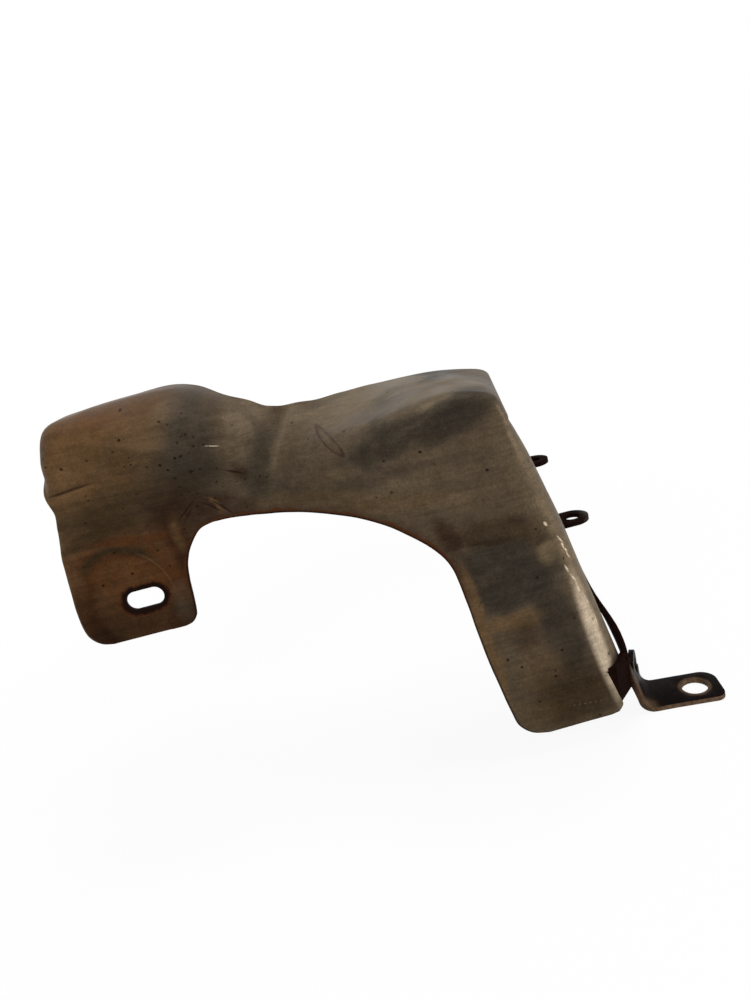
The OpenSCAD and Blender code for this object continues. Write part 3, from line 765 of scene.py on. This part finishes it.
def painted_flank_light(tree, colour, where, wandering):
    """Painted highlights on the flank's bend, round its dents and on its upper bend, and a painted shadow
    by the slit.
    """
    # painted highlights down the flank's bend, round its dents and on its upper bend, and a painted shadow
    # by the slit
    flank_highlight = oval(tree, where, (-41.2, 56), (4.2, 44), -9, 0.9)
    glint = oval(tree, where, (-40.8, 43), (2.6, 24), -9, 1.2)
    dent_highlights = oval(tree, wandering, (-51.5, 85.0), (3.6, 4.4), 20, 1.0)
    upper = oval(tree, where, (-54, 112), (7, 22), -16, 1.2)
    slit_shadow = oval(tree, where, (-32.5, 25.5), (4.6, 6.5), -20, 0.8)
    layers = ((PALE, flank_highlight, 0.9), (BRIGHT, glint, 0.75), (PALE, dent_highlights, 0.9), (PALE, upper, 0.5),
              (SOOT_AND_SHADE, slit_shadow, 0.9))
    for paint, mask, amount in layers:
        colour = tint(tree, colour, paint, mask, amount)
    return colour


# %% The shield's material
def shield_material():
    """Tints with painted light and shade first, then grain, marks and edges; the grain also makes the
    surface uneven.
    """
    material, tree, shader, where = new_steel("shield_steel", 0.35, 0.03)
    colour, wandering = tinted_with_painted_light(tree, where)
    colour = tab_marks(tree, colour, where, wandering)
    colour = painted_flank_light(tree, colour, where, wandering)
    colour, streaks, mottle, fine, pit = grain(tree, colour, where)
    colour = smear(tree, colour, where)
    colour = scratches(tree, colour, where)
    colour = edges_worn_and_lit(tree, colour, where)
    colour = tint(tree, colour, UMBER, smooth(tree, facing_back(tree), 0.3, 0.7), 0.35)
    tree.links.new(colour, shader.inputs["Base Color"])
    rough = smooth(tree, cloud(tree, where, 60, 5, 0.65), 0.3, 0.7, 0.36, 0.54)
    tree.links.new(rough, shader.inputs["Roughness"])
    height = maths(tree, "MULTIPLY_ADD", fine, 0.25, streaks)
    height = maths(tree, "MULTIPLY_ADD", mottle, 0.8, height)
    height = maths(tree, "MULTIPLY_ADD", pit, -0.5, height)
    bumps = add(tree, "Bump", {"Strength": 0.4, "Distance": 0.5 * MM, "Height": height})
    tree.links.new(bumps.outputs[0], shader.inputs["Normal"])
    return material


shield_steel = shield_material()
print("shield_steel:", len(shield_steel.node_tree.nodes), "nodes")

# %% [markdown]
# ### The welded pieces' burnt steel
#
# The bracket was nearest to the heat, so it is burnt almost black, with a brown web and a worn
# rim round the bolt hole. The eyelets are a little paler. Two plain colours would do from afar,
# but one function lays brown wear in patches and round the hole, paints a highlight on the faces
# of the foot and the eyelets that turn to the front, and paints the leaf behind the leg black as shade.

# %% Burnt steels
def burnt_steel(name, dark, worn, metallic):
    """Near-black oxide, rubbed to brown in patches and round the bolt hole, a painted highlight on the
    faces turned to the front, and painted shade on the leaf.
    """
    material, tree, shader, where = new_steel(name, metallic, 0.02)
    place = parts_of(tree, where)
    patches = cloud(tree, where, 120, 6, 0.65)
    colour = tint(tree, (*dark, 1), worn, smooth(tree, patches, 0.5, 0.75), 0.06)
    front = smooth(tree, place["Y"], 0.0, -5 * MM)
    web = oval(tree, where, (-23.5, 12), (4.5, 15), -6, 1.0)
    colour = tint(tree, colour, worn, both(tree, web, front), 0.6)
    flat = add(tree, "CombineXYZ", {0: place["X"], 1: place["Y"]}).outputs[0]
    from_hole = add(tree, "VectorMath", {0: flat}, operation="LENGTH").outputs["Value"]
    colour = tint(tree, colour, worn, smooth(tree, from_hole, 7.2 * MM, 5.8 * MM), 0.5)
    on_foot = smooth(tree, place["X"], -24 * MM, -18 * MM)
    on_eyelets = smooth(tree, place["Z"], 60 * MM, 70 * MM)
    on_foot_and_eyelets = maths(tree, "MAXIMUM", on_foot, on_eyelets)
    # painted highlight on the faces of the foot and the eyelets that turn to the front
    front_highlight = smooth(tree, facing_back(tree), -0.55, -0.95)
    colour = tint(tree, colour, worn, both(tree, front_highlight, on_foot_and_eyelets), 0.9)
    # painted shade: the leaf behind the leg is darkened to black
    leaf_shade = smooth(tree, place["X"], -25 * MM, -29 * MM)
    colour = tint(tree, colour, SOOT_AND_SHADE, leaf_shade, 0.97)
    speckle = cloud(tree, where, 520, 5, 0.65)
    colour = shade(tree, colour, smooth(tree, speckle, 0.25, 0.75, 0.6, 1.4))
    tree.links.new(colour, shader.inputs["Base Color"])
    rough = maths(tree, "MULTIPLY_ADD", leaf_shade, 0.5, smooth(tree, patches, 0.3, 0.7, 0.34, 0.5))
    tree.links.new(rough, shader.inputs["Roughness"])
    scale = cloud(tree, where, 500, 5, 0.6)
    bumps = add(tree, "Bump", {"Strength": 0.4, "Distance": 0.3 * MM, "Height": scale})
    tree.links.new(bumps.outputs[0], shader.inputs["Normal"])
    return material


BLACK_OXIDE, WORN_BROWN = (0.003, 0.0016, 0.0012), (0.120, 0.072, 0.042)
BROWN_OXIDE, WORN_GREY = (0.014, 0.009, 0.007), (0.095, 0.066, 0.046)
bracket_steel = burnt_steel("bracket_steel", BLACK_OXIDE, WORN_BROWN, 0.04)
eyelet_steel = burnt_steel("eyelet_steel", BROWN_OXIDE, WORN_GREY, 0.15)
for steel in (bracket_steel, eyelet_steel):
    print(steel.name + ":", len(steel.node_tree.nodes), "nodes")

# %% [markdown]
# ## The shield panel
#
# The real sheet has one thickness all over, and its slot is punched through afterwards. The back
# could be a second pressing, but a `SOLIDIFY` modifier keeps the sheet even round every bend. The
# slot is cut by a bar with round ends, so its walls are true and its ends are arcs.

# %% The shield panel: thickness, slot and smooth shading
SLOT_AT = Vector((TAB_R - SLOT_IN, TAB_Y, TAB_Z + SLOT_UP)) * MM
CUTTER_DEPTH = 8 * MM
ARC_POINTS = 48
SHEET_SHARP = math.radians(38)


def slot_cutter():
    """A bar with round ends, long enough to pass through the tab."""
    bm = bmesh.new()
    half, radius = (SLOT_L - SLOT_W) / 2 * MM, SLOT_W / 2 * MM
    bmesh.ops.create_circle(bm, cap_ends=True, segments=ARC_POINTS, radius=radius)
    for v in bm.verts:
        if abs(v.co.x) > 1e-7:
            v.co.x += math.copysign(half, v.co.x)
    turn = Matrix.Rotation(math.pi / 2, 3, "X")
    bmesh.ops.rotate(bm, cent=(0, 0, 0), matrix=turn, verts=bm.verts)
    side = bmesh.ops.extrude_face_region(bm, geom=bm.faces[:])["geom"]
    moved = [g for g in side if isinstance(g, bmesh.types.BMVert)]
    bmesh.ops.translate(bm, vec=(0, CUTTER_DEPTH, 0), verts=moved)
    bmesh.ops.translate(bm, vec=SLOT_AT - Vector((0, CUTTER_DEPTH / 2, 0)), verts=bm.verts)
    bmesh.ops.recalc_face_normals(bm, faces=bm.faces)
    mesh = bpy.data.meshes.new("slot_cutter")
    bm.to_mesh(mesh)
    bm.free()
    cutter = bpy.data.objects.new("slot_cutter", mesh)
    bpy.context.scene.collection.objects.link(cutter)
    return cutter


shield = add_piece("heat_shield_panel", sheet_bm, shield_steel, "shield_panel")
wall = shield.modifiers.new("sheet thickness", "SOLIDIFY")
wall.thickness = SHEET_T * MM
wall.offset = -1
wall.use_even_offset = True
cutter = slot_cutter()
cut = shield.modifiers.new("slot", "BOOLEAN")
cut.object = cutter
cut.operation = "DIFFERENCE"
cut.solver = "EXACT"
apply_modifiers(shield)
bpy.data.objects.remove(cutter)
shield.data.shade_smooth()
shield.data.set_sharp_from_angle(angle=SHEET_SHARP)


def farthest_from_node(piece, node_name):
    """How far the piece's points lie from the node it stands for, in millimetres."""
    node_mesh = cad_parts[node_name].data
    corners = [v.co for v in node_mesh.vertices]
    nearest = BVHTree.FromPolygons(corners, [p.vertices for p in node_mesh.polygons]).find_nearest
    return max(nearest(v.co)[3] for v in piece.data.vertices) / MM


print("shield:", len(shield.data.polygons), "faces, farthest from the construction",
      round(farthest_from_node(shield, "shield_panel"), 2), "mm")

# %% [markdown]
# ## The bracket and the eyelets
#
# These are small welded pieces of thicker steel. They could be modelled again, but their
# construction has the right shape already, so each is a copy of it: the loose triangles are
# merged, flat areas become single faces again, and the sharp edges get the small round that
# stamping and wear leave. The arm's upper half lies a little further back along the side wall,
# where the flank hides it from the front.

# %% Copies of the welded pieces with softened edges
MERGE = 0.002 * MM
FLAT, SHARP = math.radians(1), math.radians(40)
ARM_BACK, ARM_FROM_Z, ARM_OVER = 4, 50, 14


def softened_copy(node_name, name, material, edge_round):
    """A node's own shape with its sharp edges rounded by so many millimetres."""
    bm = bmesh.new()
    bm.from_mesh(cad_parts[node_name].data)
    bmesh.ops.remove_doubles(bm, verts=bm.verts, dist=MERGE)
    bmesh.ops.dissolve_limit(bm, angle_limit=FLAT, verts=bm.verts, edges=bm.edges)
    sharp = [e for e in bm.edges if len(e.link_faces) == 2 and e.calc_face_angle() > SHARP]
    bmesh.ops.bevel(bm, geom=sharp, offset=edge_round * MM, offset_type="OFFSET", affect="EDGES",
                    segments=2, profile=0.5, material=-1, clamp_overlap=True)
    piece = add_piece(name, bm, material, node_name)
    piece.data.shade_smooth()
    piece.data.set_sharp_from_angle(angle=SHARP)
    print(name, len(piece.data.polygons), "faces")
    return piece


bracket = softened_copy("foot_bracket", "bolt_down_bracket", bracket_steel, 0.25)
for v in bracket.data.vertices:
    v.co.y += ARM_BACK * MM * ease((v.co.z / MM - ARM_FROM_Z) / ARM_OVER)
softened_copy("upper_eyelet", "upper_ring_lug", eyelet_steel, 0.3)
softened_copy("lower_eyelet", "lower_ring_lug", eyelet_steel, 0.3)

# %% [markdown]
# ## Floor, light and camera
#
# The photograph is a plain shot on white. A pale floor lies under the bracket's foot, and the
# world is white where the camera or a reflection looks at it. Broad lamps give the soft light
# from above, and the camera stands where the photograph was taken from.

# %% Floor
FLOOR_SIZE = 4.0
FLOOR_AT = (-0.12, 0.5)
PAPER = (0.86, 0.86, 0.86, 1)
WHITE = (1, 1, 1, 1)
SHADOW_AT, SHADOW_NEAR, SHADOW_FAR = (-0.1, 0.05, 0), 0.14, 0.36
lowest, highest = cad_box
floor_bm = bmesh.new()
bmesh.ops.create_grid(floor_bm, x_segments=1, y_segments=1, size=FLOOR_SIZE)
bmesh.ops.translate(floor_bm, vec=(*FLOOR_AT, lowest[2]), verts=floor_bm.verts)
floor_mesh = bpy.data.meshes.new("floor")
floor_bm.to_mesh(floor_mesh)
floor_bm.free()
floor = bpy.data.objects.new("floor", floor_mesh)
bpy.context.scene.collection.objects.link(floor)


def background_white(tree):
    """1 where the camera or a mirror-like ray looks straight at this surface."""
    path = tree.nodes.new("ShaderNodeLightPath").outputs
    direct = maths(tree, "MAXIMUM", path["Is Camera Ray"], path["Is Glossy Ray"])
    return maths(tree, "MAXIMUM", direct, path["Is Transmission Ray"])


def floor_material():
    """White paper: near the part it takes the shadow, and further off it is the background's white."""
    material = bpy.data.materials.new("white_floor")
    material.use_nodes = True
    tree = material.node_tree
    tree.nodes.clear()
    paper = add(tree, "BsdfDiffuse", {"Color": PAPER}).outputs[0]
    glow = add(tree, "Emission", {"Strength": 1.0}).outputs[0]
    where = tree.nodes.new("ShaderNodeTexCoord").outputs["Object"]
    away = add(tree, "VectorMath", {0: where, 1: SHADOW_AT}, operation="SUBTRACT").outputs[0]
    length = add(tree, "VectorMath", {0: away}, operation="LENGTH").outputs["Value"]
    plain = smooth(tree, length, SHADOW_NEAR, SHADOW_FAR, 0.9, 1.0)
    share = maths(tree, "MULTIPLY", background_white(tree), plain)
    mix = add(tree, "MixShader", {0: share, 1: paper, 2: glow}).outputs[0]
    add(tree, "OutputMaterial", {"Surface": mix})
    return material


floor_mesh.materials.append(floor_material())

# %% World
world = bpy.data.worlds.new("studio")
bpy.context.scene.world = world
world.use_nodes = True
tree = world.node_tree
tree.nodes.clear()
ambient = add(tree, "Background", {"Color": WHITE, "Strength": 0.38}).outputs[0]
white = add(tree, "Background", {"Color": WHITE, "Strength": 1.0}).outputs[0]
pick = add(tree, "MixShader", {0: background_white(tree), 1: ambient, 2: white}).outputs[0]
add(tree, "OutputWorld", {"Surface": pick})


# %% Lamps
def soft_lamp(name, way, size, watts):
    """A round lamp that stands off the part's middle and looks at it."""
    data = bpy.data.lights.new(name, "AREA")
    data.shape = "DISK"
    data.size = size
    data.energy = watts
    lamp = bpy.data.objects.new(name, data)
    bpy.context.scene.collection.objects.link(lamp)
    lamp.location = middle + Vector(way)
    lamp.rotation_euler = (-Vector(way)).to_track_quat("-Z", "Y").to_euler()


middle = (Vector(lowest) + Vector(highest)) / 2
soft_lamp("top_light", (0.05, 0.1, 0.9), 0.6, 5)
soft_lamp("front_light", (-0.3, -0.9, 0.5), 0.6, 4)
soft_lamp("side_light", (0.85, -0.15, 0.12), 0.4, 3.5)

# %% Camera at the photograph's angle
CAMERA_AT = Vector((-109.6, -265.6, 198.5)) * MM
CAMERA_RIGHT = (0.968, -0.0753, -0.2388)
CAMERA_UP = (0.2504, 0.2911, 0.9233)
CAMERA_BACK = (0, -0.9537, 0.3007)
camera_data = bpy.data.cameras.new("camera")
camera_data.lens = 27
camera_data.sensor_width = 36
camera_data.sensor_fit = "AUTO"
camera_data.clip_start = 0.01
camera = bpy.data.objects.new("camera", camera_data)
bpy.context.scene.collection.objects.link(camera)
turned = Matrix((CAMERA_RIGHT, CAMERA_UP, CAMERA_BACK)).transposed().to_4x4()
camera.matrix_world = Matrix.Translation(CAMERA_AT) @ turned
bpy.context.scene.camera = camera
bpy.context.scene.view_settings.view_transform = "Standard"
